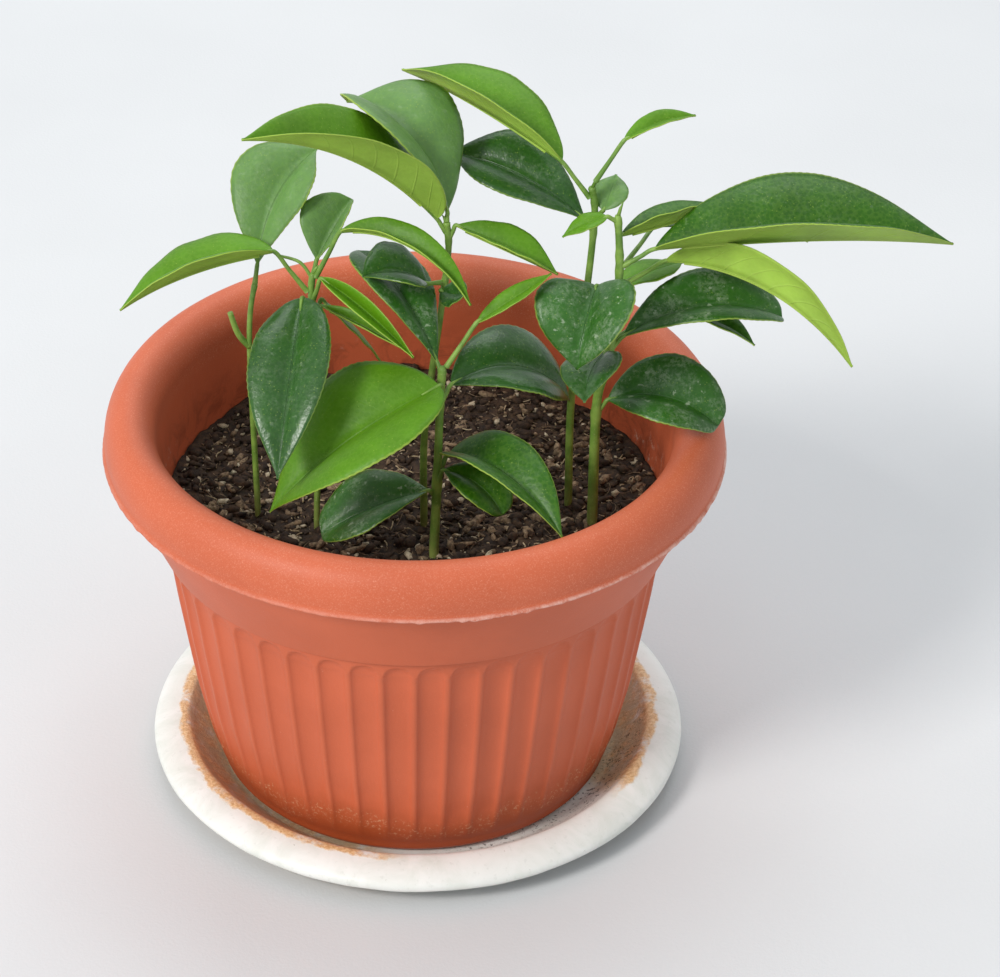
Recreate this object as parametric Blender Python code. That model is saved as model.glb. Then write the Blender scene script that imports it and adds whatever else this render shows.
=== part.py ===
"""Young kumquat plants in a fluted plastic pot that stands in its own saucer."""
import math

import bmesh
import bpy
from mathutils import Vector, noise

MM = 0.001
GAP = 0.3                   # clearance between pieces that touch
SIDES = 48                  # facets round every large turned piece, one per flute

# Saucer: a thin dish with a broad rolled rim, resting flat on the table.
SAUCER_FLOOR = 2.6
SAUCER_RADIUS = 80.7
SAUCER_TOP = 12.4
SAUCER_SHEET = 1.9
SAUCER_FOOT_RADIUS = 60.0
SAUCER_RIM_WIDTH = 10.8
SAUCER_EDGE_HEIGHT = 8.0    # the rim droops outward to this height

# Pot, measured from the underside of its foot.
POT_SHIFT = -1.2            # the pot stands a little to one side in the saucer
POT_WALL = 2.0
FOOT_RADIUS = 57.0
FOOT_RECESS = 2.0
POT_FLOOR = 4.6
STEP_HEIGHT = 82.6          # where the plain skirt overhangs the fluted body
STEP_WIDTH = 3.9
SKIRT_RADIUS = 77.3
LIP_HEIGHT = 107.0
LIP_RADIUS = 90.7
ROLL_RADIUS = 82.6          # middle of the rolled rim
ROLL_HALF_WIDTH = 7.4
ROLL_HALF_HEIGHT = 10.3
ROLL_RISE = 3.9             # middle of the roll above the lip
FLUTE_DEPTH = 1.3
FLUTE_TOP = 77.0
FLUTE_FOOT = 12.0
DRAIN_HOLES = 5
DRAIN_RADIUS = 3.0
DRAIN_CIRCLE = 28.0

# Soil and plants, heights measured from the soil's own level.
SOIL_BELOW_RIM = 35.9
SOIL_BUMP = 1.4
SOIL_EDGE_RISE = 2.0        # how far the soil climbs the wall on the left
ROOT_DEPTH = 22.0
ROOT_TIP = 0.4
COLLAR = 2.5                # straight length of stem just above the soil
STALK_RADIUS = 0.65
BLADE_HALF_THICKNESS = 0.25
MIDRIB = 0.35

POT_FOOT = SAUCER_FLOOR + GAP
ROLL_HEIGHT = LIP_HEIGHT + ROLL_RISE
SOIL_TOP = ROLL_HEIGHT + ROLL_HALF_HEIGHT - SOIL_BELOW_RIM
SOIL_LEVEL = POT_FOOT + SOIL_TOP

# Stems: foot (x, y), radius at foot and at top, then points (x, y, height).
STEMS = {
    "stem_a": ((-46.0, -6.7), 0.9, 0.75, ((-47.3, -2.5, 57.0), (-45.5, 1.5, 74.0))),
    "stem_b": ((-28.5, -14.5), 0.9, 0.85, ((-27.8, -10.0, 42.0), (-29.3, -6.5, 73.0), (-28.8, -5.0, 81.0))),
    "stem_c": ((5.5, -28.9), 1.45, 1.0, ((6.2, -30.0, 26.0), (7.0, -28.0, 54.0), (7.6, -27.0, 64.0))),
    "stem_d": ((2.6, -12.2), 1.1, 0.9, ((2.8, -8.0, 31.0), (7.2, -4.0, 68.0), (9.2, -2.0, 87.0), (8.6, -2.0, 96.0))),
    "stem_e": ((51.7, -11.5), 1.6, 1.0, ((52.0, -9.0, 40.0), (54.6, -8.0, 53.0), (57.2, -5.5, 80.0), (56.4, -3.0, 99.0))),
    "stem_f": ((45.0, -2.7), 1.2, 0.95, ((45.2, 0.0, 38.0), (48.7, 2.0, 72.0), (50.3, 4.0, 95.0), (49.2, 4.0, 104.0))),
}

# Leaves: name, stem, height of the stalk's foot, stalk (heading, rise, length),
# blade (heading, rise, droop, swing, roll), blade (length, width), belly, fold.
# Headings run anticlockwise from +X; droop and swing are the turn from base to tip.
LEAVES = (
    ("a1", "stem_a", 73, (60, 75, 6.0), (75, 65, 45, -40, 0), (39, 30), 0.63, 25),
    ("b1", "stem_b", 74, (180, 55, 18.0), (-175, -5, 30, 5, 15), (47, 26), 0.43, 25),
    ("b3", "stem_b", 80, (75, 40, 5.0), (50, 45, 5, -5, 0), (20, 22), 0.55, 45),
    ("b4", "stem_b", 78, (-5, 65, 19.0), (-30, 25, 80, 0, 5), (47, 11), 0.47, 45),
    ("b5", "stem_b", 70, (-115, 50, 9.5), (-95, -10, 45, -5, 10), (57, 24), 0.43, 15),
    ("b6", "stem_b", 65, (55, 60, 8.0), (5, -40, 25, 0, -15), (29, 16), 0.47, -5),
    ("b7", "stem_b", 72, (-35, 70, 10.0), (-45, -5, 20, 0, 35), (38, 10), 0.46, 60),
    ("b8", "stem_b", 68, (-20, 55, 5.0), (-30, -10, 5, 0, 15), (30, 7), 0.47, 50),
    ("c1", "stem_c", 22, (-150, 50, 4.0), (172, -17, 22, 10, -10), (35, 26), 0.56, 14),
    ("c2", "stem_c", 26, (-60, 65, 8.0), (-26, 12, 62, -20, 2), (23, 17), 0.54, 12),
    ("c3", "stem_c", 29, (20, 65, 7.0), (-45, 30, 70, -5, 0), (50, 22), 0.39, 30),
    ("c4", "stem_c", 57, (-95, 40, 7.5), (-150, -10, 45, -25, -5), (61, 41), 0.39, 15),
    ("c5", "stem_c", 60, (110, 50, 4.0), (125, 55, 70, -5, 15), (49, 23), 0.62, 10),
    ("c6", "stem_d", 77, (-135, 20, 7.5), (-170, 45, 55, 20, -5), (21, 22), 0.47, 15),
    ("c6b", "stem_d", 73, (-100, 45, 5.5), (-45, 5, -35, -10, 40), (12, 9), 0.49, 10),
    ("c7", "stem_c", 52, (65, 20, 7.5), (35, 20, 85, -20, 15), (46, 29), 0.54, 10),
    ("c8", "stem_c", 62, (20, 55, 17.5), (15, 30, 5, 10, 10), (25, 7), 0.47, 25),
    ("d1", "stem_d", 92, (185, 60, 6.0), (-155, 56, 44, 5, 0), (73, 31), 0.44, 40),
    ("d2", "stem_d", 96, (65, 80, 3.0), (150, 84, 110, -20, 10), (51, 36), 0.57, 25),
    ("d3", "stem_d", 90, (0, 65, 5.5), (-30, -10, 15, 20, 0), (32, 15), 0.51, 35),
    ("e1", "stem_e", 37, (5, 55, 5.5), (-10, 30, 75, -5, 22), (35, 26), 0.53, 20),
    ("e2", "stem_e", 54, (-100, 60, 6.0), (-120, 10, 35, 25, 15), (24, 18), 0.45, 10),
    ("e3", "stem_e", 74, (-160, 40, 8.0), (-100, 10, 90, -15, 5), (29, 31), 0.42, 25),
    ("e4", "stem_e", 57, (10, 50, 6.0), (15, 33, 65, -5, 10), (50, 24), 0.56, 20),
    ("e5", "stem_e", 60, (50, 0, 14.5), (5, 20, 55, -30, -5), (35, 14), 0.50, 20),
    ("e6", "stem_e", 83, (-5, 35, 12.0), (-10, 15, 30, 25, -5), (86, 42), 0.47, 35),
    ("e7", "stem_e", 77, (30, 15, 16.5), (-30, 18, 60, -10, -45), (66, 22), 0.50, 38),
    ("e8", "stem_e", 87, (80, 40, 6.0), (12, 9, 5, 20, -20), (32, 15), 0.47, 35),
    ("e9", "stem_e", 65, (80, 40, 12.0), (30, 15, 30, 10, -5), (24, 13), 0.48, 5),
    ("e10", "stem_e", 97, (-160, 35, 4.0), (-165, -5, 35, -10, -10), (14, 7), 0.43, 10),
    ("e11", "stem_e", 82, (60, 10, 22.0), (5, 15, 45, -5, 0), (46, 16), 0.53, 10),
    ("f1", "stem_f", 99, (180, 55, 16.0), (155, 30, 35, -20, 15), (57, 28), 0.45, 35),
    ("f2", "stem_f", 90, (-165, 60, 4.5), (160, 40, 45, -5, -15), (44, 25), 0.59, 15),
    ("f3", "stem_f", 104, (0, 60, 17.0), (15, 30, 35, 5, 5), (22, 8), 0.48, 30),
    ("f4", "stem_f", 94, (-20, 50, 4.0), (60, 45, 25, 15, 0), (12, 11), 0.46, 5),
)

# Bare twigs: stem, height, then steps (x, y, z) from the stem's centre line.
TWIGS = {
    "stub_a": ("stem_a", 55.0, ((-3.2, 0.0, 4.5), (-5.3, 0.0, 11.5)), 0.9, 0.8),
    "twig_b": ("stem_b", 79.0, ((-3.5, 2.0, 4.5), (-9.5, 4.0, 5.5)), 0.5, 0.4),
}

COLOURS = {
    "terracotta": ((0.56, 0.16, 0.08), 0.55),
    "saucer_white": ((0.72, 0.70, 0.65), 0.40),
    "soil": ((0.05, 0.03, 0.02), 0.95),
    "stem_green": ((0.12, 0.22, 0.04), 0.60),
    "leaf_green": ((0.06, 0.20, 0.03), 0.45),
}


def clear_scene():
    for ob in list(bpy.data.objects):
        bpy.data.objects.remove(ob, do_unlink=True)


def material(name):
    mat = bpy.data.materials.new(name)
    mat.use_nodes = True
    shader = mat.node_tree.nodes["Principled BSDF"]
    colour, rough = COLOURS[name]
    shader.inputs["Base Color"].default_value = (*colour, 1.0)
    shader.inputs["Roughness"].default_value = rough
    shader.inputs["Metallic"].default_value = 0.0
    return mat


def place(name, bm, slot, at=(0.0, 0.0, 0.0), smooth=True):
    """Turn a closed bmesh in millimetres into a named object in metres."""
    bmesh.ops.recalc_face_normals(bm, faces=bm.faces)
    bmesh.ops.scale(bm, vec=(MM, MM, MM), verts=bm.verts)
    mesh = bpy.data.meshes.new(name)
    bm.to_mesh(mesh)
    bm.free()
    for face in mesh.polygons:
        face.use_smooth = smooth
    ob = bpy.data.objects.new(name, mesh)
    ob.location = Vector(at) * MM
    bpy.context.scene.collection.objects.link(ob)
    if slot:
        ob.data.materials.append(slot)
    return ob


def turned(profile):
    """Spin a closed outline of (radius, height) points about +Z."""
    bm = bmesh.new()
    verts = [bm.verts.new((r, 0.0, z)) for r, z in profile]
    edges = [bm.edges.new(pair) for pair in zip(verts, verts[1:])]
    if profile[0][0] > 0:
        edges.append(bm.edges.new((verts[-1], verts[0])))
    bmesh.ops.spin(bm, geom=verts + edges, axis=(0, 0, 1), cent=(0, 0, 0), steps=SIDES,
                   angle=math.tau, use_merge=True)
    bmesh.ops.remove_doubles(bm, verts=bm.verts, dist=1e-4)
    return bm


def cut(target, cutter):
    """Take the cutter's shape out of the target."""
    cutter.hide_render = True
    cutter.display_type = "WIRE"
    mod = target.modifiers.new("cut", "BOOLEAN")
    mod.operation = "DIFFERENCE"
    mod.solver = "EXACT"
    mod.object = cutter


def saucer_profile():
    rim_inner = SAUCER_RADIUS - SAUCER_RIM_WIDTH
    under = SAUCER_TOP - SAUCER_SHEET
    return (
        (0.0, 0.0),
        (SAUCER_FOOT_RADIUS, 0.0),
        (SAUCER_FOOT_RADIUS + 2.5, 1.0),
        (rim_inner + 1.6, under - 1.0),
        (rim_inner + 4.5, under),
        (SAUCER_RADIUS - 3.0, under - 2.6),
        (SAUCER_RADIUS - 0.9, SAUCER_EDGE_HEIGHT - 1.6),
        (SAUCER_RADIUS, SAUCER_EDGE_HEIGHT),
        (SAUCER_RADIUS - 1.2, SAUCER_EDGE_HEIGHT + 1.6),
        (SAUCER_RADIUS - 4.0, SAUCER_TOP - 1.0),
        (rim_inner + 3.0, SAUCER_TOP),
        (rim_inner, SAUCER_TOP - 0.4),
        (rim_inner - 1.6, SAUCER_TOP - 2.4),
        (SAUCER_FOOT_RADIUS + 0.8, SAUCER_FLOOR + 1.0),
        (SAUCER_FOOT_RADIUS - 1.5, SAUCER_FLOOR),
        (0.0, SAUCER_FLOOR),
    )


BODY = (
    (FOOT_RADIUS + 2.9, POT_FLOOR - 0.4),
    (62.4, FLUTE_FOOT),
    (66.6, 31.0),
    (70.8, 58.6),
    (SKIRT_RADIUS - STEP_WIDTH - 0.5, FLUTE_TOP),
)


def inner_wall():
    """Inside of the pot from just above the soil down to the floor."""
    return (
        (SKIRT_RADIUS - 4.2, SOIL_TOP + 0.9),
        (BODY[3][0] - POT_WALL + 0.8, 69.6),
        (BODY[3][0] - POT_WALL - 3.3, 42.6),
        (BODY[2][0] - POT_WALL - 3.2, 20.6),
        (BODY[1][0] - POT_WALL - 2.0, 9.0),
        (FOOT_RADIUS - 1.5, POT_FLOOR),
    )


def pot_profile():
    roll = [
        (ROLL_RADIUS + ROLL_HALF_WIDTH * math.cos(math.radians(a)),
         ROLL_HEIGHT + ROLL_HALF_HEIGHT * math.sin(math.radians(a)))
        for a in range(0, 181, 30)
    ]
    foot = [
        (0.0, FOOT_RECESS),
        (FOOT_RADIUS - 5.5, FOOT_RECESS),
        (FOOT_RADIUS - 4.0, 0.0),
        (FOOT_RADIUS, 0.0),
    ]
    hollow = [
        (SKIRT_RADIUS - STEP_WIDTH, STEP_HEIGHT - 1.0),
        (SKIRT_RADIUS - 1.1, LIP_HEIGHT - 3.0),
        (ROLL_RADIUS - ROLL_HALF_WIDTH + 2.2, ROLL_HEIGHT + 1.5),
        (ROLL_RADIUS - 2.4, ROLL_HEIGHT + 7.2),
        (ROLL_RADIUS + 2.4, ROLL_HEIGHT + 7.2),
        (ROLL_RADIUS + ROLL_HALF_WIDTH - 2.2, ROLL_HEIGHT + 0.8),
        (SKIRT_RADIUS + 7.3, LIP_HEIGHT - 0.5),
        (SKIRT_RADIUS - 1.8, STEP_HEIGHT),
    ]
    lip = [
        (SKIRT_RADIUS, STEP_HEIGHT),
        (SKIRT_RADIUS + 9.2, LIP_HEIGHT - 1.4),
        (LIP_RADIUS - 0.3, LIP_HEIGHT),
        (LIP_RADIUS, LIP_HEIGHT + 1.1),
    ]
    return foot + list(BODY) + hollow + lip + roll + list(inner_wall()) + [(0.0, POT_FLOOR)]


def flute(bm):
    """Sink a groove between each pair of ribs on the outside of the body."""
    rows = [point for point in BODY if FLUTE_FOOT <= point[1] <= FLUTE_TOP]
    edges = []
    for radius, height in rows:
        for edge in bm.edges:
            on_row = all(abs(v.co.z - height) < 0.01 for v in edge.verts)
            if on_row and abs(edge.verts[0].co.xy.length - radius) < 0.05:
                edges.append(edge)
    split = bmesh.ops.subdivide_edges(bm, edges=edges, cuts=1)
    for item in split["geom_inner"]:
        if isinstance(item, bmesh.types.BMVert):
            outward = Vector((item.co.x, item.co.y, 0.0)).normalized()
            item.co -= outward * FLUTE_DEPTH
    bmesh.ops.triangulate(bm, faces=[f for f in bm.faces if len(f.verts) > 4])


def soil_height(x, y):
    """Height of the soil above or below its level at a point."""
    bump = noise.noise(Vector((x / 14.0, y / 14.0, 2.0))) + 0.5 * noise.noise(Vector((x / 6.0, y / 6.0, 5.0)))
    edge = max(0.0, math.hypot(x, y) - 58.0) / 14.0
    return SOIL_BUMP * bump + SOIL_EDGE_RISE * edge * (1.0 if x < 0 else 0.3)


def soil(slot):
    wall = [(r - GAP, z - SOIL_TOP) for r, z in inner_wall()]
    low = POT_FLOOR + GAP - SOIL_TOP
    top_radius = wall[0][0] - 0.2
    wall[-1] = (wall[-1][0], low)
    top = [(top_radius * k / 8.0, 0.0) for k in range(9)]
    bm = turned(top + wall[1:] + [(0.0, low)])
    for vert in bm.verts:
        if abs(vert.co.z) < 0.01:
            fade = 0.0 if vert.co.xy.length > top_radius - 0.1 and vert.co.x > 0 else 1.0
            vert.co.z = soil_height(vert.co.x, vert.co.y) * fade
    ob = place("soil", bm, slot, (POT_SHIFT, 0.0, SOIL_LEVEL), smooth=False)
    sockets = bmesh.new()
    for (x, y), foot_radius, _, _ in STEMS.values():
        depth = ROOT_DEPTH + GAP + COLLAR
        made = bmesh.ops.create_cone(sockets, cap_ends=True, segments=16, radius1=ROOT_TIP + GAP,
                                     radius2=foot_radius + GAP, depth=depth)
        bmesh.ops.translate(sockets, verts=made["verts"], vec=(x, y, COLLAR - depth / 2.0))
    cutter = place("socket_cutter", sockets, None, (POT_SHIFT, 0.0, SOIL_LEVEL))
    cut(ob, cutter)
    return ob


def tube(name, points, radii, slot):
    """A round shoot along a line of points, capped at both ends."""
    curve = bpy.data.curves.new(name, "CURVE")
    curve.dimensions = "3D"
    curve.bevel_depth = MM
    curve.bevel_resolution = 1
    curve.use_fill_caps = True
    spline = curve.splines.new("POLY")
    spline.points.add(len(points) - 1)
    for knot, point, radius in zip(spline.points, points, radii):
        knot.co = (*(Vector(point) * MM), 1.0)
        knot.radius = radius
    curve.materials.append(slot)
    ob = bpy.data.objects.new(name, curve)
    ob.location = Vector((POT_SHIFT, 0.0, SOIL_LEVEL)) * MM
    bpy.context.scene.collection.objects.link(ob)
    return ob


def stem_path(name):
    (x, y), foot_radius, top_radius, rest = STEMS[name]
    points = [Vector((x, y, -ROOT_DEPTH)), Vector((x, y, COLLAR))] + [Vector(p) for p in rest]
    top = points[-1].z
    radii = [ROOT_TIP] + [foot_radius + (top_radius - foot_radius) * p.z / top for p in points[1:]]
    return points, radii


def on_stem(name, height):
    """Centre and radius of a stem at a height above the soil."""
    points, radii = stem_path(name)
    for low, high, r0, r1 in zip(points, points[1:], radii, radii[1:]):
        if height <= high.z:
            share = (height - low.z) / (high.z - low.z)
            return low.lerp(high, share), r0 + (r1 - r0) * share
    return points[-1].copy(), radii[-1]


def direction(heading, rise):
    h = math.radians(heading)
    e = math.radians(rise)
    return Vector((math.cos(e) * math.cos(h), math.cos(e) * math.sin(h), math.sin(e)))


def stand_off(stem, height, along, radius):
    """How far along a shoot its foot clears the stem it grows from."""
    centre, stem_radius = on_stem(stem, height)
    points = stem_path(stem)[0]
    axis = next(b - a for a, b in zip(points, points[1:]) if height <= b.z).normalized()
    lean = along.dot(axis)
    clear = math.sqrt(max(1.0 - lean * lean, 0.0))
    side = (stem_radius + GAP + radius * abs(lean)) / max(clear, 0.05)
    above = ((points[-1] - centre).length + GAP + radius * clear) / max(lean, 0.05)
    return min(side, above)


def ring(bm, centre, across, up, half_width, top, bottom, middle, fold):
    """Eight points round a stalk or blade: margins, half way in, and the rib."""
    lift = math.sin(math.radians(fold))
    spread = math.cos(math.radians(fold))
    steps = (
        (1.0, 0.0), (middle, top * 0.75), (0.0, top), (-middle, top * 0.75),
        (-1.0, 0.0), (-middle, -top * 0.75), (0.0, -bottom), (middle, -top * 0.75),
    )
    verts = []
    for share, height in steps:
        x = share * half_width
        verts.append(bm.verts.new(centre + across * (x * spread) + up * (abs(x) * lift + height)))
    edges = [bm.edges.new((verts[k - 1], verts[k])) for k in range(len(verts))]
    return verts, edges


def leaf(spec, slot):
    name, stem, height, stalk, pose, size, belly, fold = spec
    heading, rise, droop, swing, roll = pose
    length, width = size
    centre, _ = on_stem(stem, height)
    along = direction(stalk[0], stalk[1])
    start = stand_off(stem, height, along, STALK_RADIUS)
    bm = bmesh.new()
    sections = []

    def frame(forward, turn, tilt):
        side = Vector((-math.sin(math.radians(turn)), math.cos(math.radians(turn)), 0.0))
        side = (side - forward * side.dot(forward)).normalized()
        up = forward.cross(side)
        c, s = math.cos(math.radians(tilt)), math.sin(math.radians(tilt))
        return side * c + up * s, up * c - side * s

    for reach in (start, max(start + GAP, stalk[2] - STALK_RADIUS)):
        across, up = frame(along, heading, 0.0)
        spot = centre + along * reach
        sections.append(ring(bm, spot, across, up, STALK_RADIUS, STALK_RADIUS, STALK_RADIUS, 0.7, 0.0))
    spot = centre + along * stalk[2]
    power = math.log(0.5) / math.log(belly)
    stations = (0.0, 0.08, 0.2, 0.35, 0.5, 0.65, 0.8, 0.92, 1.0)
    before = 0.0
    for u in stations:
        middle = (before + u) / 2.0
        spot = spot + direction(heading + swing * middle, rise - droop * middle) * (length * (u - before))
        before = u
        forward = direction(heading + swing * u, rise - droop * u)
        if u == 0.0:
            forward = (forward + along).normalized()
        across, up = frame(forward, heading + swing * u, roll)
        half = max(width / 2.0 * math.sin(math.pi * u ** power) ** 0.8 if 0 < u < 1 else 0.0, 0.5)
        ends = min(1.0, u / 0.08)
        top = STALK_RADIUS + (BLADE_HALF_THICKNESS - STALK_RADIUS) * ends
        bottom = top + MIDRIB * ends * (1.0 - u)
        sections.append(ring(bm, spot, across, up, max(half, STALK_RADIUS if u == 0 else 0.0), top, bottom,
                             0.7 - 0.2 * ends, fold * ends))
    for (_, first), (_, second) in zip(sections, sections[1:]):
        bmesh.ops.bridge_loops(bm, edges=first + second)
    bm.faces.new(sections[0][0])
    bm.faces.new(sections[-1][0])
    return place("leaf_" + name, bm, slot, (POT_SHIFT, 0.0, SOIL_LEVEL))


def twig(name, slot):
    stem, height, steps, foot_radius, tip_radius = TWIGS[name]
    centre, _ = on_stem(stem, height)
    along = Vector(steps[0]).normalized()
    start = centre + along * stand_off(stem, height, along, foot_radius)
    points = [start] + [centre + Vector(step) for step in steps]
    radii = [foot_radius] * (len(points) - 1) + [tip_radius]
    return tube(name, points, radii, slot)


def build():
    clear_scene()
    terracotta = material("terracotta")
    white = material("saucer_white")
    earth = material("soil")
    stem_green = material("stem_green")
    leaf_green = material("leaf_green")

    place("saucer", turned(saucer_profile()), white)

    bm = turned(pot_profile())
    flute(bm)
    pot = place("pot", bm, terracotta, (POT_SHIFT, 0.0, POT_FOOT))
    holes = bmesh.new()
    for k in range(DRAIN_HOLES):
        angle = math.tau * k / DRAIN_HOLES
        made = bmesh.ops.create_cone(holes, cap_ends=True, segments=12, radius1=DRAIN_RADIUS,
                                     radius2=DRAIN_RADIUS, depth=4.0 * POT_WALL)
        bmesh.ops.translate(holes, verts=made["verts"],
                            vec=(DRAIN_CIRCLE * math.cos(angle), DRAIN_CIRCLE * math.sin(angle), POT_FLOOR - 1.3))
    cut(pot, place("drain_cutter", holes, None, (POT_SHIFT, 0.0, POT_FOOT)))

    soil(earth)
    for name in STEMS:
        points, radii = stem_path(name)
        tube(name, points, radii, stem_green)
    for name in TWIGS:
        twig(name, stem_green)
    for spec in LEAVES:
        leaf(spec, leaf_green)


build()
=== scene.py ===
import math
import random

import bmesh
import bpy
from bpy.props import FloatProperty, FloatVectorProperty, IntProperty, PointerProperty
from mathutils import Matrix, Vector, noise


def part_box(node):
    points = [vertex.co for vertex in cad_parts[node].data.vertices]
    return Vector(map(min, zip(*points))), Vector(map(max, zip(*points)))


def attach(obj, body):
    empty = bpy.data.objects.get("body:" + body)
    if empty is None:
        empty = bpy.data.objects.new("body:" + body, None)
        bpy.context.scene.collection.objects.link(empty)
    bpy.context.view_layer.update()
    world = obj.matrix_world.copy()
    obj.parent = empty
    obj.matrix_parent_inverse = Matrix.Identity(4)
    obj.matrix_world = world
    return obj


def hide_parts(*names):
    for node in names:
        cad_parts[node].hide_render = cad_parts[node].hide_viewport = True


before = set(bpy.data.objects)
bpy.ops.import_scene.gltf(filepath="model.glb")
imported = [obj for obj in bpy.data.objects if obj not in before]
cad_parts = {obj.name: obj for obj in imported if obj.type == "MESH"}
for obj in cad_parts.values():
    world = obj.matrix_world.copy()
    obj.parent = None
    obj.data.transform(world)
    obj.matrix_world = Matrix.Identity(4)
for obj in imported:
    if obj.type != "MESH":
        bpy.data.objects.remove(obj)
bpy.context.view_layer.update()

bl_info = {
    "name": "Potted Kumquat Seedlings",
    "version": (1, 0, 0),
    "blender": (4, 5, 0),
    "location": "View3D > Sidebar > Kumquat",
    "description": "Makes young kumquat plants in a fluted pot on a saucer, around their fixed frame",
    "category": "Add Mesh",
}

MM = 0.001
GAP = 0.3

# Places taken from the frame, in millimetres.
POT_LOW, POT_HIGH = (Vector(corner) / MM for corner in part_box("pot"))
SAUCER_HIGH = Vector(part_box("saucer")[1]) / MM
POT_AXIS = (POT_LOW + POT_HIGH) / 2.0
POT_FOOT = POT_LOW.z
SOIL_LEVEL = 88.2

# Stems: foot (x, y), radius at foot and at top, then points (x, y, height above the soil).
ROOT_DEPTH = 22.0
ROOT_TIP = 0.4
COLLAR = 2.5
STEMS = {
    "stem_a": ((-46.0, -6.7), 0.9, 0.75, ((-47.3, -2.5, 57.0), (-45.5, 1.5, 74.0))),
    "stem_b": ((-28.5, -14.5), 0.9, 0.85,
               ((-27.8, -10.0, 42.0), (-29.3, -6.5, 73.0), (-28.8, -5.0, 81.0))),
    "stem_c": ((5.5, -28.9), 1.45, 1.0, ((6.2, -30.0, 26.0), (7.0, -28.0, 54.0), (7.6, -27.0, 64.0))),
    "stem_d": ((2.6, -12.2), 1.1, 0.9,
               ((2.8, -8.0, 31.0), (7.2, -4.0, 68.0), (9.2, -2.0, 87.0), (8.6, -2.0, 96.0))),
    "stem_e": ((51.7, -11.5), 1.6, 1.0,
               ((52.0, -9.0, 40.0), (54.6, -8.0, 53.0), (57.2, -5.5, 80.0), (56.4, -3.0, 99.0))),
    "stem_f": ((45.0, -2.7), 1.2, 0.95,
               ((45.2, 0.0, 38.0), (48.7, 2.0, 72.0), (50.3, 4.0, 95.0), (49.2, 4.0, 104.0))),
}
TWIGS = {
    "stub_a": ("stem_a", 55.0, ((-3.2, 0.0, 4.5), (-5.3, 0.0, 11.5)), 0.9, 0.8),
    "twig_b": ("stem_b", 79.0, ((-3.5, 2.0, 4.5), (-9.5, 4.0, 5.5)), 0.5, 0.4),
}

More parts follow.
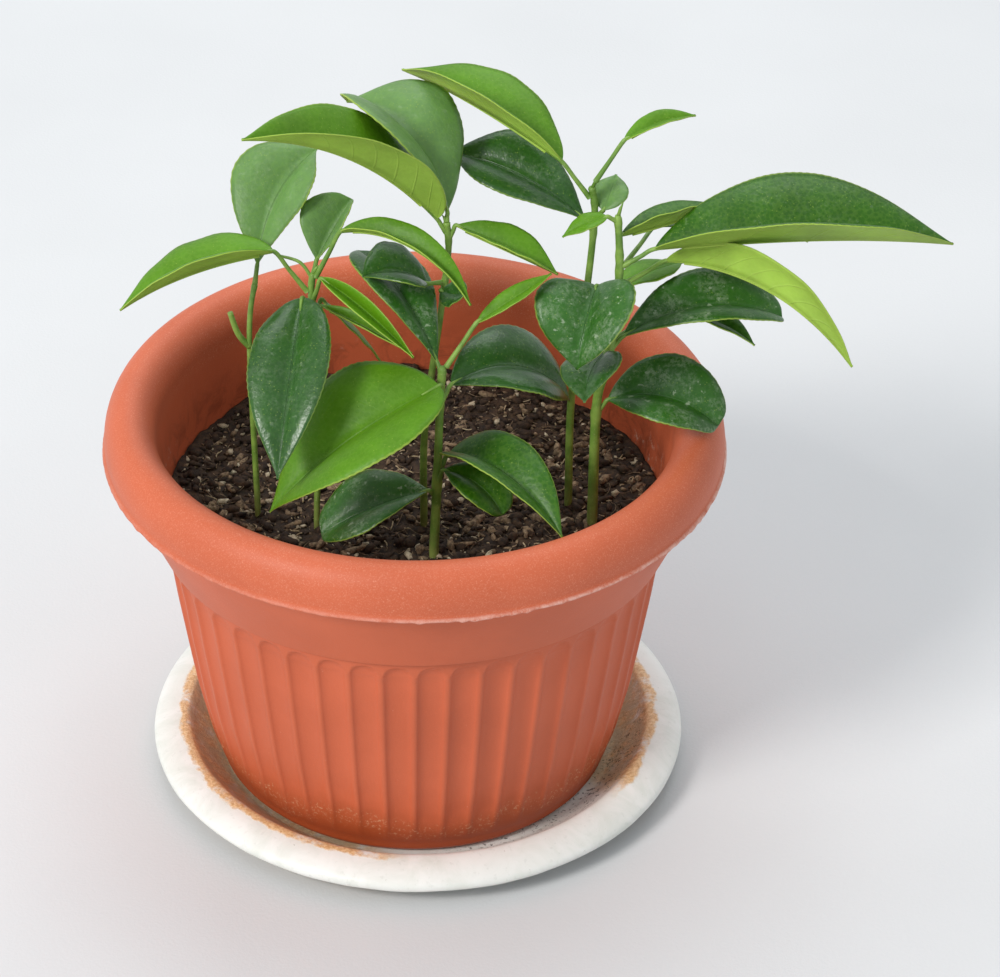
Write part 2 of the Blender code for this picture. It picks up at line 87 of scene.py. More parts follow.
# Leaves: name, stem, height of the stalk's foot, stalk (heading, rise, length),
# blade (heading, rise, droop, swing, roll), blade (length, width), belly, fold, tone.
LEAVES = (
    ("a1", "stem_a", 73, (60, 75, 6.0), (75, 65, 45, -40, 0), (39, 30), 0.63, 25, "grey"),
    ("b1", "stem_b", 74, (180, 55, 18.0), (-175, -5, 30, 5, 15), (47, 26), 0.43, 25, "young"),
    ("b3", "stem_b", 80, (75, 40, 5.0), (50, 45, 5, -5, 0), (20, 22), 0.55, 45, "grey"),
    ("b4", "stem_b", 78, (-5, 65, 19.0), (-30, 25, 80, 0, 5), (47, 11), 0.47, 45, "young"),
    ("b5", "stem_b", 70, (-115, 50, 9.5), (-95, -10, 45, -5, 10), (57, 24), 0.43, 15, "dark"),
    ("b6", "stem_b", 65, (55, 60, 8.0), (5, -40, 25, 0, -15), (29, 16), 0.47, -5, "young"),
    ("b7", "stem_b", 72, (-35, 70, 10.0), (-45, -5, 20, 0, 35), (38, 10), 0.46, 60, "young"),
    ("b8", "stem_b", 68, (-20, 55, 5.0), (-30, -10, 5, 0, 15), (30, 7), 0.47, 50, "young"),
    ("c1", "stem_c", 22, (-150, 50, 4.0), (172, -17, 22, 10, -10), (35, 26), 0.56, 14, "dust_and_sheen"),
    ("c2", "stem_c", 26, (-60, 65, 8.0), (-26, 12, 62, -20, 2), (23, 17), 0.54, 12, "mid"),
    ("c3", "stem_c", 29, (20, 65, 7.0), (-45, 30, 70, -5, 0), (50, 22), 0.39, 30, "mid"),
    ("c4", "stem_c", 57, (-95, 40, 7.5), (-150, -10, 45, -25, -5), (61, 41), 0.39, 15, "young"),
    ("c5", "stem_c", 60, (110, 50, 4.0), (125, 55, 70, -5, 15), (49, 23), 0.62, 10, "dust_and_sheen"),
    ("c6", "stem_d", 77, (-135, 20, 7.5), (-170, 45, 55, 20, -5), (21, 22), 0.47, 15, "dark"),
    ("c6b", "stem_d", 73, (-100, 45, 5.5), (-45, 5, -35, -10, 40), (12, 9), 0.49, 10, "dark"),
    ("c7", "stem_c", 52, (65, 20, 7.5), (35, 20, 85, -20, 15), (46, 29), 0.54, 10, "dark"),
    ("c8", "stem_c", 62, (20, 55, 17.5), (15, 30, 5, 10, 10), (25, 7), 0.47, 25, "young"),
    ("d1", "stem_d", 92, (185, 60, 6.0), (-155, 56, 44, 5, 0), (73, 31), 0.44, 40, "young"),
    ("d2", "stem_d", 96, (65, 80, 3.0), (150, 84, 110, -20, 10), (51, 36), 0.57, 25, "grey"),
    ("d3", "stem_d", 90, (0, 65, 5.5), (-30, -10, 15, 20, 0), (32, 15), 0.51, 35, "young"),
    ("e1", "stem_e", 37, (5, 55, 5.5), (-10, 30, 75, -5, 22), (35, 26), 0.53, 20, "dust_and_sheen"),
    ("e2", "stem_e", 54, (-100, 60, 6.0), (-120, 10, 35, 25, 15), (24, 18), 0.45, 10, "dark"),
    ("e3", "stem_e", 74, (-160, 40, 8.0), (-100, 10, 90, -15, 5), (29, 31), 0.42, 25, "dust_and_sheen"),
    ("e4", "stem_e", 57, (10, 50, 6.0), (15, 33, 65, -5, 10), (50, 24), 0.56, 20, "dust_and_sheen"),
    ("e5", "stem_e", 60, (50, 0, 14.5), (5, 20, 55, -30, -5), (35, 14), 0.50, 20, "mid"),
    ("e6", "stem_e", 83, (-5, 35, 12.0), (-10, 15, 30, 25, -5), (86, 42), 0.47, 35, "mid"),
    ("e7", "stem_e", 77, (30, 15, 16.5), (-30, 18, 60, -10, -45), (66, 22), 0.50, 38, "young"),
    ("e8", "stem_e", 87, (80, 40, 6.0), (12, 9, 5, 20, -20), (32, 15), 0.47, 35, "mid"),
    ("e9", "stem_e", 65, (80, 40, 12.0), (30, 15, 30, 10, -5), (24, 13), 0.48, 5, "young"),
    ("e10", "stem_e", 97, (-160, 35, 4.0), (-165, -5, 35, -10, -10), (14, 7), 0.43, 10, "young"),
    ("e11", "stem_e", 82, (60, 10, 22.0), (5, 15, 45, -5, 0), (46, 16), 0.53, 10, "dark"),
    ("f1", "stem_f", 99, (180, 55, 16.0), (155, 30, 35, -20, 15), (57, 28), 0.45, 35, "young"),
    ("f2", "stem_f", 90, (-165, 60, 4.5), (160, 40, 45, -5, -15), (44, 25), 0.59, 15, "dark"),
    ("f3", "stem_f", 104, (0, 60, 17.0), (15, 30, 35, 5, 5), (22, 8), 0.48, 30, "young"),
    ("f4", "stem_f", 94, (-20, 50, 4.0), (60, 45, 25, 15, 0), (12, 11), 0.46, 5, "grey"),
)
# Leaves with a blunt tip, and the reach (x, y, z) of the bud on a stem's top.
BLUNT = ("b3", "c1", "c2", "c6b", "e1", "e4")
BUDS = {
    "stem_b": (1.6, 0.0, 3.4),
    "stem_d": (-1.2, -0.4, 3.2),
    "stem_e": (1.4, 0.0, 5.0),
    "stem_f": (3.0, 0.0, 6.5),
}


class Nodes:
    """One material's node tree, with short calls for the nodes used here."""

    def __init__(self, name):
        self.material = bpy.data.materials.new(name)
        self.material.use_nodes = True
        self.tree = self.material.node_tree
        self.shader = self.tree.nodes["Principled BSDF"]
        self.coords = self.tree.nodes.new("ShaderNodeTexCoord")

    def feed(self, socket, value):
        if isinstance(value, bpy.types.NodeSocket):
            self.tree.links.new(value, socket)
        elif socket.type == "RGBA":
            socket.default_value = (*value, 1.0)
        else:
            socket.default_value = value

    def set(self, **values):
        """Feed the shader's sockets, named with _ for a space."""
        for name, value in values.items():
            self.feed(self.shader.inputs[name.replace("_", " ")], value)

    def math(self, operation, a, b=0.0, c=0.0, clamp=False):
        node = self.tree.nodes.new("ShaderNodeMath")
        node.operation = operation
        node.use_clamp = clamp
        for socket, value in zip(node.inputs, (a, b, c)):
            self.feed(socket, value)
        return node.outputs[0]

    def both(self, *values):
        """The product of several masks or numbers."""
        product = values[0]
        for value in values[1:]:
            product = self.math("MULTIPLY", product, value)
        return product

    def step(self, value, low, high):
        """0 below low, 1 above high, smooth between; low may be above high."""
        node = self.tree.nodes.new("ShaderNodeMapRange")
        node.interpolation_type = "SMOOTHSTEP"
        first, last = (0.0, 1.0) if low < high else (1.0, 0.0)
        numbers = {"From Min": min(low, high), "From Max": max(low, high), "To Min": first, "To Max": last}
        for name, number in numbers.items():
            node.inputs[name].default_value = number
        self.feed(node.inputs["Value"], value)
        return node.outputs["Result"]

    def band(self, value, low, high, soft):
        """1 between low and high, fading over soft outside them."""
        return self.both(self.step(value, low - soft, low), self.step(value, high + soft, high))

    def noise(self, scale, detail=3.0, rough=0.55, distortion=0.0, vector=None):
        node = self.tree.nodes.new("ShaderNodeTexNoise")
        node.inputs["Scale"].default_value = scale
        node.inputs["Detail"].default_value = detail
        node.inputs["Roughness"].default_value = rough
        node.inputs["Distortion"].default_value = distortion
        self.tree.links.new(vector or self.coords.outputs["Object"], node.inputs["Vector"])
        return node.outputs["Fac"]

    def cells(self, scale, vector=None):
        node = self.tree.nodes.new("ShaderNodeTexVoronoi")
        node.inputs["Scale"].default_value = scale
        self.tree.links.new(vector or self.coords.outputs["Object"], node.inputs["Vector"])
        return node.outputs["Distance"]

    def axes(self, output="Object"):
        node = self.tree.nodes.new("ShaderNodeSeparateXYZ")
        self.tree.links.new(self.coords.outputs[output], node.inputs["Vector"])
        return node.outputs

    def radius(self, x, y, centre_x=0.0):
        shifted = self.math("SUBTRACT", x, centre_x)
        squares = self.math("ADD", self.math("MULTIPLY", shifted, shifted), self.math("MULTIPLY", y, y))
        return self.math("SQRT", squares)

    def mix(self, share, first, second):
        node = self.tree.nodes.new("ShaderNodeMix")
        node.data_type = "RGBA"
        colours = [socket for socket in node.inputs if socket.type == "RGBA"]
        self.feed(node.inputs[0], share)
        self.feed(colours[0], first)
        self.feed(colours[1], second)
        return next(socket for socket in node.outputs if socket.type == "RGBA")

    def bump(self, height, strength, distance):
        node = self.tree.nodes.new("ShaderNodeBump")
        node.inputs["Strength"].default_value = strength
        node.inputs["Distance"].default_value = distance
        self.feed(node.inputs["Height"], height)
        self.tree.links.new(node.outputs["Normal"], self.shader.inputs["Normal"])


def finish_piece(name, bm, materials, nodes):
    """Make a bmesh in millimetres an object in metres, tied to the frame."""
    bmesh.ops.scale(bm, vec=(MM, MM, MM), verts=bm.verts)
    mesh = bpy.data.meshes.new(name)
    bm.to_mesh(mesh)
    bm.free()
    for mat in materials:
        mesh.materials.append(mat)
    mesh.polygons.foreach_set("use_smooth", [True] * len(mesh.polygons))
    ob = bpy.data.objects.new(name, mesh)
    bpy.context.scene.collection.objects.link(ob)
    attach(ob, "root")
    if nodes:
        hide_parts(*nodes)
    return ob


def softened(points, rounds=2):
    """Cut the corners of an open outline, keeping its two ends."""
    for _ in range(rounds):
        cut = [points[0]]
        for (r0, z0), (r1, z1) in zip(points, points[1:]):
            cut.append((0.75 * r0 + 0.25 * r1, 0.75 * z0 + 0.25 * z1))
            cut.append((0.25 * r0 + 0.75 * r1, 0.25 * z0 + 0.75 * z1))
        points = cut + [points[-1]]
    return points


def turned(profile, steps):
    """Spin an outline of (radius, height) points about +Z; its ends lie on the axis."""
    bm = bmesh.new()
    verts = [bm.verts.new((r, 0.0, z)) for r, z in profile]
    edges = [bm.edges.new(pair) for pair in zip(verts, verts[1:])]
    bmesh.ops.spin(bm, geom=verts + edges, axis=(0, 0, 1), cent=(0, 0, 0), steps=steps,
                   angle=math.tau, use_merge=True)
    bmesh.ops.remove_doubles(bm, verts=bm.verts, dist=1e-4)
    bmesh.ops.recalc_face_normals(bm, faces=bm.faces)
    return bm


# ---------------------------------------------------------------- saucer

SAUCER_RIM_WIDTH = 10.8


def saucer_material(settings):
    g = Nodes("marbled_saucer_plastic")
    x, y, z = g.axes()
    radius = g.radius(x, y)
    cloud = g.noise(60.0, 5.0, 0.65, 1.0)
    white = g.mix(g.step(cloud, 0.35, 0.72), settings.colour, settings.cloud)
    flecks = g.step(g.noise(520.0, 3.0, 0.6), 0.60, 0.70)
    white = g.mix(g.both(flecks, 0.22), white, (0.52, 0.53, 0.48))
    wander = g.both(g.math("SUBTRACT", g.noise(95.0, 6.0, 0.7), 0.5), 0.0075)
    reach = g.math("ADD", radius, wander)
    lit_side = g.step(g.math("ADD", x, g.both(y, 0.35)), -0.026, -0.040)
    far_side = g.step(g.math("SUBTRACT", x, g.both(g.math("ABSOLUTE", y), 0.5)), 0.034, 0.046)
    sides = g.math("MAXIMUM", lit_side, far_side)
    grit = g.noise(900.0, 5.0, 0.75)
    wall = g.both(g.step(reach, 0.0735, 0.0722), sides)
    tan = g.mix(g.step(grit, 0.38, 0.62), (0.86, 0.58, 0.28), (0.60, 0.31, 0.09))
    strength = g.both(g.step(g.noise(140.0, 5.0, 0.7), 0.30, 0.50), settings.stain)
    colour = g.mix(g.both(wall, strength), white, tan)
    below = g.both(g.step(reach, 0.0705, 0.0685), g.step(g.noise(200.0, 4.0, 0.6), 0.25, 0.6))
    colour = g.mix(g.both(below, sides, 0.75), colour, (0.52, 0.46, 0.32))
    mould = g.both(g.step(g.noise(700.0, 4.0, 0.75), 0.56, 0.62), g.step(radius, 0.0700, 0.0680))
    corner = g.step(g.math("SUBTRACT", x, y), 0.060, 0.075)
    colour = g.mix(g.both(mould, corner, 0.9), colour, (0.035, 0.03, 0.02))
    specks = g.step(g.noise(1300.0, 2.0, 0.5), 0.73, 0.78)
    colour = g.mix(g.both(specks, 0.5), colour, (0.30, 0.26, 0.20))
    g.set(Base_Color=colour, Roughness=g.math("MULTIPLY_ADD", cloud, 0.20, 0.30))
    crust = g.both(wall, strength, grit)
    g.bump(g.math("ADD", g.both(g.noise(200.0, 3.0), 0.4), g.both(crust, 1.5)), 0.4, 0.0006)
    return g.material


def make_saucer(settings):
    edge = SAUCER_HIGH.x
    top = SAUCER_HIGH.z
    rim_inner = edge - SAUCER_RIM_WIDTH
    outside = softened([
        (0.0, 0.0), (30.0, 0.0), (59.0, 0.0), (62.5, 0.4), (rim_inner + 0.8, top - 3.3),
        (rim_inner + 4.0, top - 1.9), (edge - 4.0, top - 3.9), (edge - 1.6, 6.1), (edge, 6.6),
        (edge, 8.6), (edge - 1.3, 9.9), (edge - 4.0, 11.5), (rim_inner + 3.6, top),
        (rim_inner + 0.4, top), (rim_inner - 1.2, top - 1.6), (rim_inner - 3.0, top - 3.6),
        (61.4, 3.9), (58.5, 2.6), (30.0, 2.6), (0.0, 2.6)])
    bm = turned(outside, 240)
    for vert in bm.verts:
        if vert.co.z > 4.0:
            angle = math.atan2(vert.co.y, vert.co.x)
            wave = noise.noise(Vector((2.2 * math.cos(angle), 2.2 * math.sin(angle), 3.0)))
            fine = noise.noise(Vector((9.0 * math.cos(angle), 9.0 * math.sin(angle), vert.co.z * 0.2)))
            vert.co.z += min(0.0, 0.55 * wave + 0.18 * fine - 0.12)
            vert.co.xy *= 1.0 - 0.0035 * abs(wave)
    return finish_piece("saucer_dish", bm, [saucer_material(settings)], ["saucer"])


# ---------------------------------------------------------------- pot

STEP_HEIGHT = 81.6
LIP_HEIGHT = 107.0
LIP_RADIUS = 90.7
SKIRT_RADIUS = 76.0
ROLL_RADIUS = 82.6
ROLL_HALF_WIDTH = 7.4
ROLL_HALF_HEIGHT = 10.3
ROLL_HEIGHT = 110.9
FLUTE_TOP = 79.0
FLUTE_FOOT = 6.0
FLUTE_REACH = 4.0
FLUTE_WIDE = 0.82
BODY = ((57.6, 0.8), (59.9, 4.2), (62.4, 12.0), (66.6, 31.0),
        (70.8, 58.6), (72.0, 68.2), (73.2, 75.0), (74.1, 81.6))
INNER = ((73.9, 98.0), (73.1, 86.2), (69.6, 69.6), (65.5, 42.6), (61.4, 20.6), (58.4, 9.0), (55.5, 4.6))


def along(table, height):
    """Radius at a height, from points in order of height."""
    for (r0, z0), (r1, z1) in zip(table, table[1:]):
        if height <= z1:
            return r0 + (r1 - r0) * max(0.0, height - z0) / (z1 - z0)
    return table[-1][0]


def pot_material(settings):
    g = Nodes("terracotta_plastic")
    x, y, z = g.axes()
    height = g.math("SUBTRACT", z, POT_FOOT * MM)
    radius = g.radius(x, y, POT_AXIS.x * MM)
    grain = g.noise(2600.0, 2.0, 0.6)
    cloud = g.noise(28.0, 4.0, 0.55)
    colour = g.mix(g.step(cloud, 0.3, 0.7), settings.colour, settings.shade)
    colour = g.mix(g.both(g.step(grain, 0.50, 0.68), 0.25), colour, settings.grain)
    dust = g.both(g.step(height, 0.1050, 0.1085), g.step(g.noise(2400.0, 3.0, 0.8), 0.50, 0.72))
    colour = g.mix(g.both(dust, 0.40), colour, (0.80, 0.40, 0.27))
    flash = g.both(g.band(height, 0.1062, 0.1076, 0.0008), g.step(radius, 0.0893, 0.0902),
                   g.step(g.noise(330.0, 6.0, 0.8), 0.30, 0.62),
                   g.math("MULTIPLY_ADD", g.step(x, -0.040, 0.040), 0.55, 0.20))
    colour = g.mix(flash, colour, (0.80, 0.50, 0.42))
    drift = g.both(g.math("SUBTRACT", g.noise(60.0, 4.0, 0.6), 0.5), 0.020)
    foot = g.math("ADD", height, drift)
    damp = g.step(foot, 0.024, 0.006)
    colour = g.mix(g.both(damp, 0.70), colour, settings.damp)
    line = g.both(g.band(foot, 0.0105, 0.0140, 0.0030), g.step(g.noise(1100.0, 4.0, 0.7), 0.54, 0.66))
    colour = g.mix(g.both(line, 0.6), colour, (0.62, 0.36, 0.20))
    inside = g.both(g.step(radius, 0.0765, 0.0757), g.step(height, 0.0842, 0.0850))
    level = g.math("SUBTRACT", height, 0.0858)
    splash = g.both(g.step(level, 0.020, 0.001), g.step(g.noise(90.0, 6.0, 0.7, 1.0), 0.46, 0.62))
    colour = g.mix(g.both(splash, inside, 0.6), colour, (0.22, 0.045, 0.018))
    lime = g.both(g.step(level, 0.014, 0.001), g.step(g.noise(330.0, 6.0, 0.75), 0.55, 0.68),
                  g.step(g.noise(24.0, 2.0), 0.44, 0.56))
    colour = g.mix(g.both(lime, inside, 0.8), colour, (0.72, 0.60, 0.50))
    specks = g.step(g.noise(900.0, 3.0, 0.6), 0.74, 0.79)
    colour = g.mix(g.both(specks, 0.5), colour, (0.84, 0.50, 0.38))
    rough = g.math("MULTIPLY_ADD", grain, 0.22, 0.40)
    g.set(Base_Color=colour, Roughness=g.math("MULTIPLY_ADD", dust, 0.15, rough))
    g.shader.inputs["Specular IOR Level"].default_value = 0.4
    heights = g.math("MULTIPLY_ADD", grain, 0.5, g.both(g.noise(420.0, 3.0), 0.6))
    g.bump(g.math("ADD", heights, g.both(flash, 0.6)), 0.30, 0.0003)
    return g.material


def flute_depth(angle, height, settings):
    """How deep the channel is at a place on the body; 0 on the ribs and above the round top."""
    across = abs((angle * settings.flutes / math.tau) % 1.0 - 0.5) * 2.0
    end = max(0.0, min(1.0, (FLUTE_TOP - height) / FLUTE_REACH))
    left = 1.0 - (across / FLUTE_WIDE) ** 2 - (1.0 - end) ** 2
    if left <= 0.0:
        return 0.0
    fade = max(0.0, min(1.0, (height - FLUTE_FOOT) / 14.0))
    return settings.flute_depth / MM * math.sqrt(left) * fade * fade * (3.0 - 2.0 * fade)


def gathered(angle, flutes):
    """Move a column of the mesh sideways so that more of them lie where a rib meets its channel."""
    turns, across = divmod(angle * flutes / math.tau, 1.0)
    from_middle = 2.0 * across - 1.0
    place = min(5.9999, abs(from_middle) * 6.0)
    table = (0.0, 0.27, 0.51, 0.69, 0.79, 0.86, 1.0)
    low = int(place)
    moved = table[low] + (table[low + 1] - table[low]) * (place - low)
    return (turns + (1.0 + math.copysign(moved, from_middle)) / 2.0) * math.tau / flutes


def make_pot(settings):
    body_rows = [3.0 * k for k in range(1, 25)] + [74.4 + 0.32 * k for k in range(23)]
    body = [(along(BODY, h), h) for h in body_rows]
    smooth_body = [((a[0] + 2 * b[0] + c[0]) / 4.0, b[1]) for a, b, c in zip(body, body[1:], body[2:])]
    smooth_body = body[:1] + smooth_body + body[-1:]
    foot = softened([
        (0.0, 2.0), (51.0, 2.0), (52.6, 1.4), (53.2, 0.0), (56.0, 0.0), (57.8, 0.6), (59.2, 2.4)], 1)
    under_skirt = softened([
        (74.2, 82.4), (75.4, 92.0), (76.8, 106.0), (78.2, 114.0), (80.4, 118.4), (84.8, 118.4),
        (87.0, 114.0), (86.2, 108.6), (84.0, 104.6), (SKIRT_RADIUS - 1.0, STEP_HEIGHT + 0.5)], 1)
    skirt = softened([
        (SKIRT_RADIUS - 0.7, STEP_HEIGHT), (SKIRT_RADIUS - 0.1, STEP_HEIGHT + 0.1),
        (SKIRT_RADIUS + 0.1, STEP_HEIGHT + 0.5), (SKIRT_RADIUS + 3.6, 90.0),
        (SKIRT_RADIUS + 7.4, 98.0), (SKIRT_RADIUS + 10.2, LIP_HEIGHT - 2.0),
        (SKIRT_RADIUS + 11.4, LIP_HEIGHT - 0.5), (LIP_RADIUS - 1.5, LIP_HEIGHT - 0.2)], 1)
    lip = [
        (LIP_RADIUS - 0.5, LIP_HEIGHT), (LIP_RADIUS, LIP_HEIGHT + 0.25),
        (LIP_RADIUS - 0.15, LIP_HEIGHT + 0.7), (LIP_RADIUS - 0.75, LIP_HEIGHT + 1.25),
        (LIP_RADIUS - 0.85, LIP_HEIGHT + 2.2)]
    roll = [(ROLL_RADIUS + ROLL_HALF_WIDTH * math.cos(math.radians(a)),
             ROLL_HEIGHT + ROLL_HALF_HEIGHT * math.sin(math.radians(a))) for a in range(0, 181, 8)]
    roll.append((ROLL_RADIUS - ROLL_HALF_WIDTH, ROLL_HEIGHT))
    inside = softened([roll[-1], (74.9, 106.0)] + list(INNER) + [(54.0, 4.6), (0.0, 4.6)], 1)[1:]
    bm = turned(foot + smooth_body + under_skirt + skirt + lip + roll + inside, settings.flutes * 12)
    for vert in bm.verts:
        radius = vert.co.xy.length
        height = vert.co.z
        if radius < 1.0:
            continue
        angle = gathered(math.atan2(vert.co.y, vert.co.x), settings.flutes)
        outward = Vector((math.cos(angle), math.sin(angle), 0.0))
        vert.co = outward * radius + Vector((0.0, 0.0, height))
        if 6.0 < height < 81.0 and radius > along(BODY, height) - 0.9:
            vert.co -= outward * flute_depth(angle, height, settings)
        elif radius > LIP_RADIUS - 0.6 and abs(height - LIP_HEIGHT) < 1.0:
            tear = noise.noise(Vector((34.0 * math.cos(angle), 34.0 * math.sin(angle), 1.0)))
            patchy = noise.noise(Vector((2.0 * math.cos(angle), 2.0 * math.sin(angle), 7.0)))
            strong = max(0.0, patchy + 0.45)
            vert.co.z -= max(0.0, tear) * 1.1 * strong
            vert.co -= outward * max(0.0, -tear) * 0.5 * strong
    bmesh.ops.translate(bm, verts=bm.verts, vec=(POT_AXIS.x, POT_AXIS.y, POT_FOOT))
    return finish_piece("fluted_pot", bm, [pot_material(settings)], ["pot"])


# ---------------------------------------------------------------- soil

SOIL_EDGE = 71.0
CRUMB_REACH = 70.8
FIBRE_REACH = 68.0
SOIL_RINGS = 74


def soil_height(x, y):
    """Height of the soil above or below its level at a point from the pot's axis."""
    broad = noise.noise(Vector((x / 14.0, y / 14.0, 2.0)))
    middle = noise.noise(Vector((x / 6.0, y / 6.0, 5.0)))
    small = noise.noise(Vector((x / 2.3, y / 2.3, 9.0)))
    fine = noise.noise(Vector((x / 1.1, y / 1.1, 4.0)))
    rise = max(0.0, math.hypot(x, y) - 58.0) / 14.0 * (1.0 if x < 0 else 0.4)
    return 1.4 * broad + 0.9 * middle + 0.8 * small + 0.5 * fine + 2.0 * rise


def earth_material(name, dark, light, scale=500.0):
    g = Nodes(name)
    clods = g.noise(scale, 6.0, 0.7)
    tone = g.mix(g.step(clods, 0.35, 0.68), dark, light)
    patch = g.noise(40.0, 3.0)
    tone = g.mix(g.both(g.step(patch, 0.45, 0.65), 0.4), tone, dark)
    g.set(Base_Color=tone, Roughness=g.math("MULTIPLY_ADD", clods, 0.2, 0.75))
    g.shader.inputs["Specular IOR Level"].default_value = 0.3
    g.bump(g.noise(scale * 3.0, 5.0, 0.7), 0.7, 0.0006)
    return g.material


def crumb_batch(count, chooser, low, high, spread):
    """A mesh of small broken lumps strewn over the soil's surface."""
    bm = bmesh.new()
    for _ in range(count):
        reach = CRUMB_REACH * math.sqrt(chooser.random())
        turn = chooser.random() * math.tau
        x, y = reach * math.cos(turn), reach * math.sin(turn)
        size = low + (high - low) * chooser.random() ** 2.6
        made = bmesh.ops.create_icosphere(bm, subdivisions=1, radius=size)["verts"]
        for vert in made:
            vert.co *= 1.0 + 0.75 * (chooser.random() - 0.5)
        length, thickness = 1.0 + spread * chooser.random(), 0.55 + 0.35 * chooser.random()
        shape = Matrix.Diagonal((length, 1.0, thickness, 1.0))
        turned_to = Matrix.Rotation(chooser.random() * math.tau, 4, "Z")
        tipped = Matrix.Rotation(chooser.gauss(0, 0.5), 4, "X")
        place = Matrix.Translation((x, y, soil_height(x, y) + 0.25 * size))
        bmesh.ops.transform(bm, matrix=place @ turned_to @ tipped @ shape, verts=made)
    mesh = bpy.data.meshes.new("batch")
    bm.to_mesh(mesh)
    bm.free()
    return mesh


def fibre_batch(count, chooser, low, high, thick):
    """A mesh of bent fibres lying on the soil."""
    bm = bmesh.new()
    for _ in range(count):
        reach = FIBRE_REACH * math.sqrt(chooser.random())
        turn = chooser.random() * math.tau
        spot = Vector((reach * math.cos(turn), reach * math.sin(turn), 0.0))
        heading, bend = chooser.uniform(0.0, 360.0), chooser.gauss(0.0, 55.0)
        step = (low + (high - low) * chooser.random() ** 2) / 5.0
        points = []
        for k in range(6):
            if spot.xy.length > SOIL_EDGE:
                break
            points.append(Vector((spot.x, spot.y, soil_height(spot.x, spot.y) + 0.55 + thick)))
            spot += direction(heading + bend * k / 5.0, 0.0) * step
        if len(points) > 2:
            before, after = points[:1] + points, points[1:] + points[-1:]
            points = [(a + 2.0 * b + c) / 4.0 for a, b, c in zip(before, points, after)]
            shoot(bm, points, [thick] * (len(points) - 1) + [thick * 0.5], 4)
    mesh = bpy.data.meshes.new("batch")
    bm.to_mesh(mesh)
    bm.free()
    return mesh


def make_soil(settings):
    foot = POT_FOOT - SOIL_LEVEL
    side = [(r - GAP, z + foot) for r, z in ((72.6, 84.4), *INNER[2:])]
    side[-1] = (side[-1][0] - 1.0, side[-1][1] + GAP)
    top = [(72.6 * k / SOIL_RINGS, 0.0) for k in range(SOIL_RINGS + 1)]
    bm = turned(top + [(72.3, -1.2)] + side + [(0.0, side[-1][1])], 240)
    for vert in bm.verts:
        if abs(vert.co.z) < 0.01:
            vert.co.z = soil_height(vert.co.x, vert.co.y)
    bmesh.ops.translate(bm, verts=bm.verts, vec=(POT_AXIS.x, POT_AXIS.y, SOIL_LEVEL))
    black = earth_material("peat", settings.dark, settings.light)
    finish_piece("peat_soil", bm, [black], ["soil"])

    chooser = random.Random(settings.seed)
    kinds = (
        ("peat_crumbs", 40, crumb_batch, (100, chooser, 0.30, 1.7, 1.0), black),
        ("bark_crumbs", 14, crumb_batch, (100, chooser, 0.28, 1.5, 2.2),
         earth_material("bark", (0.09, 0.055, 0.032), (0.40, 0.28, 0.17), 700.0)),
        ("pale_crumbs", 8, crumb_batch, (110, chooser, 0.20, 1.15, 1.4),
         earth_material("pale_grit", (0.36, 0.28, 0.18), (0.72, 0.62, 0.46), 900.0)),
        ("straw_bits", 4, fibre_batch, (110, chooser, 0.9, 5.0, 0.20),
         earth_material("straw", (0.34, 0.24, 0.13), (0.66, 0.54, 0.36), 900.0)),
        ("root_fibres", 9, fibre_batch, (100, chooser, 1.5, 7.0, 0.12),
         earth_material("fibre", (0.12, 0.075, 0.045), (0.36, 0.26, 0.16), 900.0)),
    )
    for name, batches, maker, numbers, mat in kinds:
        bm = bmesh.new()
        for _ in range(batches):
            mesh = maker(*numbers)
            bm.from_mesh(mesh)
            bpy.data.meshes.remove(mesh)
        bmesh.ops.recalc_face_normals(bm, faces=bm.faces)
        bmesh.ops.translate(bm, verts=bm.verts, vec=(POT_AXIS.x, POT_AXIS.y, SOIL_LEVEL))
        finish_piece(name, bm, [mat], [])


# ---------------------------------------------------------------- stems

def stem_path(name):
    (x, y), foot_radius, top_radius, rest = STEMS[name]
    points = [Vector((x, y, -ROOT_DEPTH)), Vector((x, y, COLLAR))] + [Vector(p) for p in rest]
    top = points[-1].z
    radii = [ROOT_TIP] + [foot_radius + (top_radius - foot_radius) * p.z / top for p in points[1:]]
    return points, radii


def on_stem(name, height):
    """Centre and radius of a stem at a height above the soil."""
    points, radii = stem_path(name)
    for low, high, r0, r1 in zip(points, points[1:], radii, radii[1:]):
        if height <= high.z:
            share = (height - low.z) / (high.z - low.z)
            return low.lerp(high, share), r0 + (r1 - r0) * share
    return points[-1].copy(), radii[-1]


def direction(heading, rise):
    h = math.radians(heading)
    e = math.radians(rise)
    return Vector((math.cos(e) * math.cos(h), math.cos(e) * math.sin(h), math.sin(e)))


def shoot(bm, points, radii, sides, material_index=0):
    """A closed round shoot lofted through points."""
    loops = []
    last = None
    for k, (point, radius) in enumerate(zip(points, radii)):
        ahead = points[min(k + 1, len(points) - 1)] - points[max(k - 1, 0)]
        turn = ahead.to_track_quat("Z", "Y").to_matrix().to_4x4()
        if last is not None:
            turn = last.rotation_difference(ahead).to_matrix().to_4x4() @ facing
        last, facing = ahead, turn
        made = bmesh.ops.create_circle(bm, segments=sides, radius=radius)["verts"]
        bmesh.ops.transform(bm, matrix=Matrix.Translation(point) @ turn, verts=made)
        loops.append((made, list(dict.fromkeys(edge for vert in made for edge in vert.link_edges))))
    faces = []
    for (_, low), (_, high) in zip(loops, loops[1:]):
        faces += bmesh.ops.bridge_loops(bm, edges=low + high)["faces"]
    for ring, _ in (loops[0], loops[-1]):
        faces.append(bm.faces.new(ring))
    for face in faces:
        face.material_index = material_index


